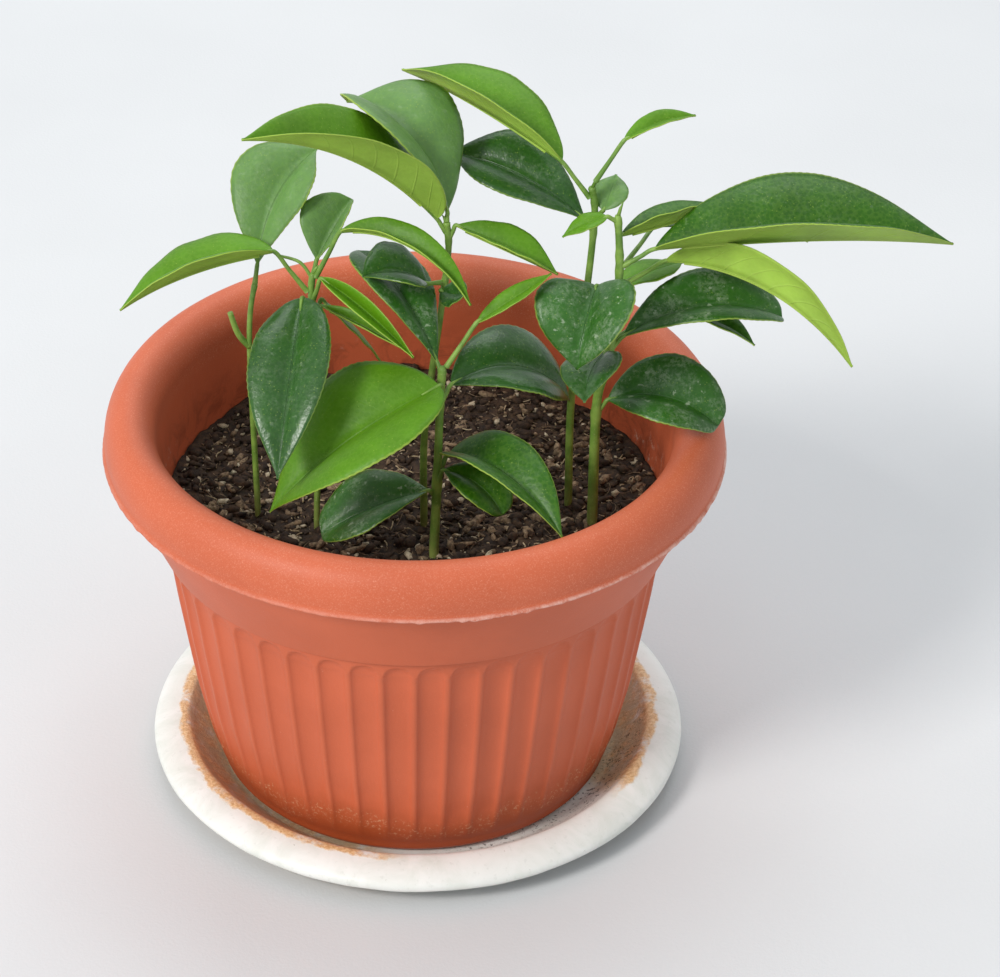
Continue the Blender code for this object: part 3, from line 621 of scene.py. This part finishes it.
def curved(points, radii, pieces=8):
    """Points and radii along a smooth line through the given ones."""
    line, widths = [], []
    ends = [points[0]] + list(points) + [points[-1]]
    for k in range(len(points) - 1):
        a, b, c, d = ends[k:k + 4]
        for j in range(pieces):
            t = j / pieces
            square, cube = 2 * a - 5 * b + 4 * c - d, 3 * b - a - 3 * c + d
            line.append(0.5 * (2 * b + (c - a) * t + square * t * t + cube * t ** 3))
            widths.append(radii[k] + (radii[k + 1] - radii[k]) * t)
    return line + [points[-1]], widths + [radii[-1]]


def shoot_material(settings):
    g = Nodes("green_shoot")
    x, y, z = g.axes()
    height = g.math("SUBTRACT", z, SOIL_LEVEL * MM)
    streak = g.noise(1200.0, 3.0, 0.6)
    green = g.mix(g.step(g.noise(180.0, 3.0), 0.35, 0.65), settings.shoot, settings.shoot_light)
    woody = g.step(g.math("ADD", height, g.both(g.noise(300.0, 3.0), 0.02)), 0.030, 0.004)
    tone = g.mix(g.both(woody, 0.55), green, (0.20, 0.15, 0.06))
    tone = g.mix(g.both(g.step(streak, 0.6, 0.7), 0.35), tone, (0.42, 0.45, 0.20))
    g.set(Base_Color=tone, Roughness=g.math("MULTIPLY_ADD", streak, 0.2, 0.38))
    g.bump(streak, 0.35, 0.0003)
    return g.material


def finish_shoot(name, bm, mat):
    """Set the normals of a stem's or twig's mesh and finish it as the piece of that name."""
    bmesh.ops.recalc_face_normals(bm, faces=bm.faces)
    bmesh.ops.translate(bm, verts=bm.verts, vec=(POT_AXIS.x, POT_AXIS.y, SOIL_LEVEL))
    finish_piece(name + "_shoot", bm, [mat], [name])


def make_stems(settings):
    mat = shoot_material(settings)
    for name in STEMS:
        points, radii = curved(*stem_path(name), pieces=10)
        knots = [spec[2] for spec in LEAVES if spec[1] == name]
        swollen = []
        for point, radius in zip(points, radii):
            swell = max([math.exp(-((point.z - knot) / 1.3) ** 2) for knot in knots], default=0.0)
            swollen.append(radius * (1.0 + 0.22 * swell * (point.z > 5.0)))
        swollen[-1] *= 0.75
        bm = bmesh.new()
        shoot(bm, points, swollen, 14)
        if name in BUDS:
            crown = points[-1] - Vector((0.0, 0.0, 0.8))
            tip = Vector(BUDS[name])
            middle = crown + tip * 0.5 + Vector((0.0, 0.0, 0.6))
            shoot(bm, [crown, middle, crown + tip], [0.62, 0.45, 0.10], 8)
        finish_shoot(name, bm, mat)
    for name, (stem, height, steps, foot_radius, tip_radius) in TWIGS.items():
        centre, _ = on_stem(stem, height)
        points, radii = curved([centre] + [centre + Vector(step) for step in steps],
                               [foot_radius] * len(steps) + [tip_radius], 6)
        bm = bmesh.new()
        shoot(bm, points, radii, 12)
        finish_shoot(name, bm, mat)


# ---------------------------------------------------------------- leaves

VEIN_PAIRS = 9.0
VEIN_SWEEP = 1.9
ROWS_PER_TOOTH = 4
LEAF_COLUMNS = 14


def leaf_materials(name, top, vein, under, gloss, shine, dust, settings):
    """The materials of the upper and under face of one tone of leaf."""
    made = []
    for upper in (True, False):
        g = Nodes(name + ("_upper" if upper else "_under"))
        u, v, _ = g.axes("UV")
        out = g.math("ABSOLUTE", g.math("MULTIPLY_ADD", v, 2.0, -1.0))
        midrib = g.step(out, 0.030, 0.010) if upper else g.step(out, 0.055, 0.015)
        sweep = g.math("FRACT", g.math("SUBTRACT", g.both(u, VEIN_PAIRS), g.both(out, VEIN_SWEEP)))
        from_rib = g.math("ABSOLUTE", g.math("SUBTRACT", sweep, 0.5))
        ribs = g.both(g.step(from_rib, 0.07, 0.0), g.step(out, 1.0, 0.55))
        net = g.step(g.cells(900.0), 0.35, 0.7)
        mottle = g.noise(55.0, 4.0, 0.6)
        fine = g.noise(1600.0, 2.0, 0.6)
        base, line = (top, vein) if upper else (under, settings.under_vein)
        darker = tuple(0.72 * c for c in base)
        tone = g.mix(g.step(mottle, 0.3, 0.72), darker, base)
        tone = g.mix(g.both(ribs, 0.03 if upper else 0.16), tone, line)
        tone = g.mix(g.both(net, 0.10), tone, line)
        tone = g.mix(g.both(midrib, 0.40 if upper else 0.75), tone, darker if upper else line)
        edge = g.both(g.step(out, 0.960, 0.99), 0.60 if gloss > 0.35 else 0.35)
        tone = g.mix(edge, tone, settings.margin)
        glands = g.both(g.step(g.cells(1100.0), 0.24, 0.12), g.step(g.noise(330.0, 2.0), 0.46, 0.56))
        tone = g.mix(g.both(glands, 0.32 if upper else 0.12), tone, settings.margin)
        # Pale film over the upper face, its strength set by dust: real dust on some leaves, and a painted
        # grey sheen on the glossy dark leaves c5 and e3.
        if dust > 0.0 and upper:
            dust_and_sheen_film = g.both(g.step(g.noise(120.0, 5.0, 0.7), 0.42, 0.66),
                          g.step(g.noise(900.0, 3.0, 0.7), 0.38, 0.62))
            spots = g.step(g.noise(480.0, 3.0, 0.5), 0.64, 0.70)
            dust_and_sheen_film = g.math("MAXIMUM", g.both(dust_and_sheen_film, 0.45), g.both(spots, 0.7))
            tone = g.mix(g.both(dust_and_sheen_film, dust), tone, (0.40, 0.48, 0.34))
            rough = g.math("MULTIPLY_ADD", dust_and_sheen_film, 0.35 * dust, gloss)
        else:
            rough = g.math("MULTIPLY_ADD", fine, 0.12, gloss if upper else 0.50)
        g.set(Base_Color=tone, Roughness=rough)
        g.shader.inputs["Specular IOR Level"].default_value = shine if upper else 0.3
        g.shader.inputs["Subsurface Weight"].default_value = 0.18
        g.shader.inputs["Subsurface Radius"].default_value = (0.0012, 0.0016, 0.0006)
        relief = g.math("ADD", g.both(ribs, -0.07 if upper else 0.6), g.both(net, 0.12))
        relief = g.math("ADD", relief, g.both(midrib, -0.8 if upper else 1.4))
        g.bump(g.math("MULTIPLY_ADD", fine, 0.12, relief), 0.55, 0.00035)
        made.append(g.material)
    return made


def half_width(u, width, belly, blunt):
    power = math.log(0.5) / math.log(belly)
    bluntness = 0.78 - 0.36 * u ** 3 if blunt else 0.78 + 0.30 * u ** 2
    return width / 2.0 * max(0.0, math.sin(math.pi * min(1.0, max(0.0, u)) ** power)) ** bluntness


def frame_at(forward, turn, tilt):
    side = Vector((-math.sin(math.radians(turn)), math.cos(math.radians(turn)), 0.0))
    side = (side - forward * side.dot(forward)).normalized()
    up = forward.cross(side)
    c, s = math.cos(math.radians(tilt)), math.sin(math.radians(tilt))
    return side * c + up * s, up * c - side * s


def midline(spec, steps):
    """Places and frames along the blade from its foot to its tip."""
    _, stem, height, stalk, (heading, rise, droop, swing, roll), (length, _), _, _, _ = spec
    spot = on_stem(stem, height)[0] + direction(stalk[0], stalk[1]) * stalk[2]
    places = []
    for k in range(steps + 1):
        u = k / steps
        if k:
            middle = u - 0.5 / steps
            spot = spot + direction(heading + swing * middle, rise - droop * middle) * (length / steps)
        forward = direction(heading + swing * u, rise - droop * u)
        places.append((u, spot.copy(), *frame_at(forward, heading + swing * u, roll)))
    return places


def make_leaf(spec, settings, tones, shoot_mat):
    name, stem, height, stalk, _, (length, width), belly, fold, tone = spec
    blunt = name in BLUNT
    own_place = Vector((sum(map(ord, name)) * 0.37, 0.0, 0.0))
    teeth = max(8, round(length / (settings.tooth / MM)))
    steps = teeth * ROWS_PER_TOOTH
    places = midline(spec, steps)
    bm = bmesh.new()
    uv = bm.loops.layers.uv.new("UVMap")
    grid = bmesh.ops.create_grid(bm, x_segments=steps, y_segments=LEAF_COLUMNS, size=0.5)["verts"]
    layer = {}
    lift, spread = math.sin(math.radians(fold)), math.cos(math.radians(fold))
    for vert in grid:
        column = round((vert.co.x + 0.5) * steps)
        out = vert.co.y * 2.0
        u, spot, side, up = places[column]
        tooth = 1.0 - abs((column / ROWS_PER_TOOTH) % 1.0 - 0.35)
        half = max(half_width(u, width, belly, blunt), 0.35)
        ragged = 1.0 + 0.042 * (tooth - 0.5) * min(1.0, half / 4.0) if abs(out) > 0.99 else 1.0
        wave = noise.noise(own_place + Vector((u * 5.0, 2.0 if out > 0 else 7.0, 0.0)))
        reach = abs(out)
        x = out * half * spread * ragged
        rise = reach * half * lift
        rise += 0.10 * half * math.sin(math.pi * min(1.0, reach)) * (1.0 if fold >= 0 else 0.4)
        rise -= 0.035 * half * (1.0 - reach) ** 6
        rise += wave * 0.9 * reach ** 2 * min(1.0, half / 6.0)
        quilted = math.sin(math.tau * (u * VEIN_PAIRS - reach * VEIN_SWEEP))
        rise += 0.12 * quilted * reach * (1.0 - reach) * min(1.0, half / 4.0)
        layer[vert] = (u, (out + 1.0) / 2.0)
        vert.co = spot + side * x + up * rise
    for face in bm.faces:
        for loop in face.loops:
            loop[uv].uv = layer[loop.vert]
    bmesh.ops.recalc_face_normals(bm, faces=bm.faces)
    centre = places[steps // 2]
    middle_face = min(bm.faces, key=lambda f: (f.calc_center_median() - centre[1]).length)
    if middle_face.normal.dot(centre[3]) < 0.0:
        bmesh.ops.reverse_faces(bm, faces=bm.faces)
    upper = set(bm.faces)
    bmesh.ops.solidify(bm, geom=list(bm.faces), thickness=settings.thickness / MM)
    for face in bm.faces:
        face.material_index = 0 if face in upper else 1
    start = on_stem(stem, height)[0]
    along_stalk = direction(stalk[0], stalk[1])
    foot = start + along_stalk * (stalk[2] * 0.12)
    base = places[0][1]
    first = max(2, steps // 10)
    inner = places[first]
    points, radii = curved([foot, start + along_stalk * stalk[2] * 0.6, base, inner[1] - inner[3] * 0.25],
                           [0.85, 0.65, 0.65, 0.25], 5)
    shoot(bm, points, radii, 10, 2)
    shown = places[first:int(steps * 0.9):4]
    if len(shown) > 3:
        thick = [0.42 * (1.0 - 0.75 * k / len(shown)) for k in range(len(shown))]
        rib = [spot - up * (0.035 * half_width(u, width, belly, blunt) + 0.12 + radius)
               for (u, spot, _, up), radius in zip(shown, thick)]
        shoot(bm, rib, thick, 6, 1)
    bmesh.ops.translate(bm, verts=bm.verts, vec=(POT_AXIS.x, POT_AXIS.y, SOIL_LEVEL))
    finish_piece("leaf_blade_" + name, bm, [*tones[tone], shoot_mat], ["leaf_" + name])


def make_leaves(settings):
    s = settings
    tones = {
        "young": leaf_materials("young_leaf", s.young, s.vein, s.under, 0.42, 0.30, 0.0, s),
        "mid": leaf_materials("mid_leaf", s.mid, s.vein, s.under, 0.40, 0.28, 0.15, s),
        "dark": leaf_materials("dark_leaf", s.dark, s.vein_dark, s.under_dark, 0.30, 0.45, 0.25, s),
        # Strong pale film: dust on some leaves, and a painted grey sheen on c5 and e3.
        "dust_and_sheen": leaf_materials("dust_and_sheen_leaf", s.dust_and_sheen, s.vein_dark, s.under_dark, 0.36, 0.40, 0.75, s),
        "grey": leaf_materials("grey_leaf", s.grey, s.vein, s.under, 0.44, 0.35, 0.2, s),
    }
    stalk = shoot_material(bpy.context.scene.kumquat_shoots)
    for spec in LEAVES:
        make_leaf(spec, settings, tones, stalk)


# ---------------------------------------------------------------- stage

def make_stage(settings):
    bm = bmesh.new()
    bmesh.ops.create_grid(bm, x_segments=2, y_segments=2, size=4.0)
    mesh = bpy.data.meshes.new("floor")
    bm.to_mesh(mesh)
    bm.free()
    g = Nodes("pale_floor")
    worn = tuple(0.96 * c for c in settings.floor)
    tone = g.mix(g.step(g.noise(6.0, 3.0), 0.3, 0.7), settings.floor, worn)
    g.set(Base_Color=tone, Roughness=0.9)
    g.bump(g.noise(900.0, 2.0), 0.15, 0.0005)
    mesh.materials.append(g.material)
    floor = bpy.data.objects.new("floor", mesh)
    bpy.context.scene.collection.objects.link(floor)

    bpy.context.scene.view_settings.view_transform = "Standard"
    world = bpy.data.worlds.new("pale_room")
    world.use_nodes = True
    background = world.node_tree.nodes["Background"]
    background.inputs["Color"].default_value = (0.92, 0.96, 1.0, 1.0)
    background.inputs["Strength"].default_value = settings.ambient
    bpy.context.scene.world = world
    for name, place, size, power, tint in (
        ("window", (-2.0, -1.84, 2.16), 0.9, settings.key, (1.0, 0.985, 0.96)),
        ("sky", (0.1, 0.9, 1.7), 1.4, settings.key * 0.17, (0.95, 0.98, 1.0)),
    ):
        lamp = bpy.data.lights.new(name, "AREA")
        lamp.energy = power
        lamp.size = size
        lamp.color = tint
        ob = bpy.data.objects.new(name, lamp)
        ob.location = place
        aim = Vector((0.0, 0.0, 0.12)) - Vector(place)
        ob.rotation_euler = aim.to_track_quat("-Z", "Y").to_euler()
        bpy.context.scene.collection.objects.link(ob)

    camera = bpy.data.cameras.new("camera")
    camera.lens = settings.lens
    camera.sensor_width = 36.0
    camera.clip_start = 0.05
    ob = bpy.data.objects.new("camera", camera)
    elevation = math.radians(settings.elevation)
    distance = settings.distance
    target = Vector((POT_AXIS.x * MM, 0.0, settings.aim_height))
    ob.location = target + Vector((0.0, -distance * math.cos(elevation), distance * math.sin(elevation)))
    look = (target - ob.location).to_track_quat("-Z", "Y").to_matrix().to_4x4()
    pan = Matrix.Rotation(-math.radians(settings.pan), 4, "Y")
    roll = Matrix.Rotation(math.radians(settings.roll), 4, "Z")
    ob.rotation_euler = (look @ pan @ roll).to_euler()
    bpy.context.scene.collection.objects.link(ob)
    bpy.context.scene.camera = ob


# ---------------------------------------------------------------- settings

def colour(name, description, value):
    return FloatVectorProperty(name=name, description=description, default=value, subtype="COLOR",
                               size=3, min=0.0, max=1.0)


class KumquatPot(bpy.types.PropertyGroup):
    colour: colour("Colour", "Plastic where the light falls", (0.58, 0.122, 0.049))
    shade: colour("Second colour", "Plastic where it has weathered", (0.52, 0.106, 0.041))
    grain: colour("Grain", "Lighter grain in the plastic", (0.66, 0.15, 0.065))
    damp: colour("Damp", "Plastic darkened by water near the foot", (0.30, 0.050, 0.006))
    flutes: IntProperty(name="Flutes", description="Scallops round the body", default=48, min=12, max=96)
    flute_depth: FloatProperty(name="Flute depth", description="Deepest point of a scallop",
                               default=0.0014, min=0.0, max=0.002, unit="LENGTH")


class KumquatSaucer(bpy.types.PropertyGroup):
    colour: colour("Colour", "White of the marbled plastic", (0.82, 0.82, 0.78))
    cloud: colour("Cloud", "Greenish grey clouds in the white", (0.70, 0.72, 0.66))
    stain: FloatProperty(name="Stain", description="Strength of the rusty water mark",
                         default=0.9, min=0.0, max=1.0, subtype="FACTOR")


class KumquatSoil(bpy.types.PropertyGroup):
    dark: colour("Dark", "Damp peat", (0.018, 0.011, 0.008))
    light: colour("Light", "Dry peat", (0.085, 0.048, 0.026))
    seed: IntProperty(name="Seed", description="Lie of the crumbs", default=7, min=0)


class KumquatShoots(bpy.types.PropertyGroup):
    shoot: colour("Green", "Bark of a young stem", (0.115, 0.235, 0.030))
    shoot_light: colour("Light green", "Newest bark", (0.215, 0.360, 0.060))


class KumquatLeaves(bpy.types.PropertyGroup):
    young: colour("Young", "Upper face of young leaves", (0.098, 0.262, 0.003))
    mid: colour("Middle", "Upper face of grown leaves", (0.028, 0.120, 0.002))
    dark: colour("Dark", "Upper face of old leaves", (0.022, 0.095, 0.010))
    # Base colour under the pale film of dust and painted grey sheen.
    dust_and_sheen: colour("Dust and sheen", "Upper face of old leaves under their film", (0.028, 0.128, 0.010))
    grey: colour("Grey", "Upper face of dull small leaves", (0.130, 0.270, 0.070))
    under: colour("Under face", "Under face of young leaves", (0.350, 0.550, 0.075))
    under_dark: colour("Dark under face", "Under face of old leaves", (0.150, 0.320, 0.030))
    vein: colour("Vein", "Veins of young leaves", (0.220, 0.400, 0.050))
    vein_dark: colour("Dark vein", "Veins of old leaves", (0.090, 0.220, 0.040))
    under_vein: colour("Under vein", "Ribs of the under face", (0.400, 0.560, 0.100))
    margin: colour("Margin", "Toothed edge", (0.340, 0.460, 0.070))
    tooth: FloatProperty(name="Tooth", description="Spacing of the margin's teeth",
                         default=0.0021, min=0.001, unit="LENGTH")
    thickness: FloatProperty(name="Thickness", description="Thickness of a blade",
                             default=0.00032, min=0.0001, unit="LENGTH")


class KumquatStage(bpy.types.PropertyGroup):
    floor: colour("Floor", "Surface under the plant", (0.66, 0.665, 0.67))
    ambient: FloatProperty(name="Ambient", description="Strength of the soft light all round",
                           default=0.70, min=0.0)
    key: FloatProperty(name="Key light", description="Power of the large soft light",
                       default=80.0, min=0.0, unit="POWER")
    lens: FloatProperty(name="Lens", description="Focal length in millimetres", default=131.2, min=10.0)
    distance: FloatProperty(name="Distance", description="Camera to the pot's axis",
                            default=1.0714, min=0.2, unit="LENGTH")
    elevation: FloatProperty(name="Elevation", description="Camera above the horizon, in degrees",
                             default=34.13)
    pan: FloatProperty(name="Pan", description="Turn of the camera to the right, in degrees",
                       default=1.335)
    roll: FloatProperty(name="Roll", description="Tilt of the camera, in degrees", default=0.15)
    aim_height: FloatProperty(name="Aim height", description="Height the camera looks at",
                              default=0.0929, unit="LENGTH")


# ---------------------------------------------------------------- operators

class KUMQUAT_OT_saucer(bpy.types.Operator):
    """Make the marbled saucer"""
    bl_idname = "kumquat.saucer"
    bl_label = "Saucer"

    def execute(self, context):
        make_saucer(context.scene.kumquat_saucer)
        return {"FINISHED"}


class KUMQUAT_OT_pot(bpy.types.Operator):
    """Make the fluted pot"""
    bl_idname = "kumquat.pot"
    bl_label = "Pot"

    def execute(self, context):
        make_pot(context.scene.kumquat_pot)
        return {"FINISHED"}


class KUMQUAT_OT_soil(bpy.types.Operator):
    """Make the peat soil with its crumbs and fibres"""
    bl_idname = "kumquat.soil"
    bl_label = "Soil"

    def execute(self, context):
        make_soil(context.scene.kumquat_soil)
        return {"FINISHED"}


class KUMQUAT_OT_stems(bpy.types.Operator):
    """Make the stems and bare twigs"""
    bl_idname = "kumquat.stems"
    bl_label = "Stems"

    def execute(self, context):
        make_stems(context.scene.kumquat_shoots)
        return {"FINISHED"}


class KUMQUAT_OT_leaves(bpy.types.Operator):
    """Make every leaf with its stalk"""
    bl_idname = "kumquat.leaves"
    bl_label = "Leaves"

    def execute(self, context):
        make_leaves(context.scene.kumquat_leaves)
        return {"FINISHED"}


class KUMQUAT_OT_stage(bpy.types.Operator):
    """Make the floor, the lights and the camera"""
    bl_idname = "kumquat.stage"
    bl_label = "Stage"

    def execute(self, context):
        make_stage(context.scene.kumquat_stage)
        return {"FINISHED"}


OPERATORS = (KUMQUAT_OT_saucer, KUMQUAT_OT_pot, KUMQUAT_OT_soil, KUMQUAT_OT_stems, KUMQUAT_OT_leaves,
             KUMQUAT_OT_stage)
GROUPS = {
    "kumquat_pot": KumquatPot,
    "kumquat_saucer": KumquatSaucer,
    "kumquat_soil": KumquatSoil,
    "kumquat_shoots": KumquatShoots,
    "kumquat_leaves": KumquatLeaves,
    "kumquat_stage": KumquatStage,
}


class KUMQUAT_PT_panel(bpy.types.Panel):
    """Lists the pieces and their settings"""
    bl_label = "Kumquat"
    bl_idname = "KUMQUAT_PT_panel"
    bl_space_type = "VIEW_3D"
    bl_region_type = "UI"
    bl_category = "Kumquat"

    def draw(self, context):
        for operator in OPERATORS:
            self.layout.operator(operator.bl_idname)
        for name, group in GROUPS.items():
            box = self.layout.box()
            for key in group.__annotations__:
                box.prop(getattr(context.scene, name), key)


def register():
    for cls in (*GROUPS.values(), *OPERATORS, KUMQUAT_PT_panel):
        bpy.utils.register_class(cls)
    for name, group in GROUPS.items():
        setattr(bpy.types.Scene, name, PointerProperty(type=group))


def unregister():
    for name in GROUPS:
        delattr(bpy.types.Scene, name)
    for cls in reversed((*GROUPS.values(), *OPERATORS, KUMQUAT_PT_panel)):
        bpy.utils.unregister_class(cls)


def main():
    register()
    bpy.ops.kumquat.saucer()
    bpy.ops.kumquat.pot()
    bpy.ops.kumquat.soil()
    bpy.ops.kumquat.stems()
    bpy.ops.kumquat.leaves()
    bpy.ops.kumquat.stage()
    bpy.context.view_layer.update()


if __name__ == "__main__":
    main()
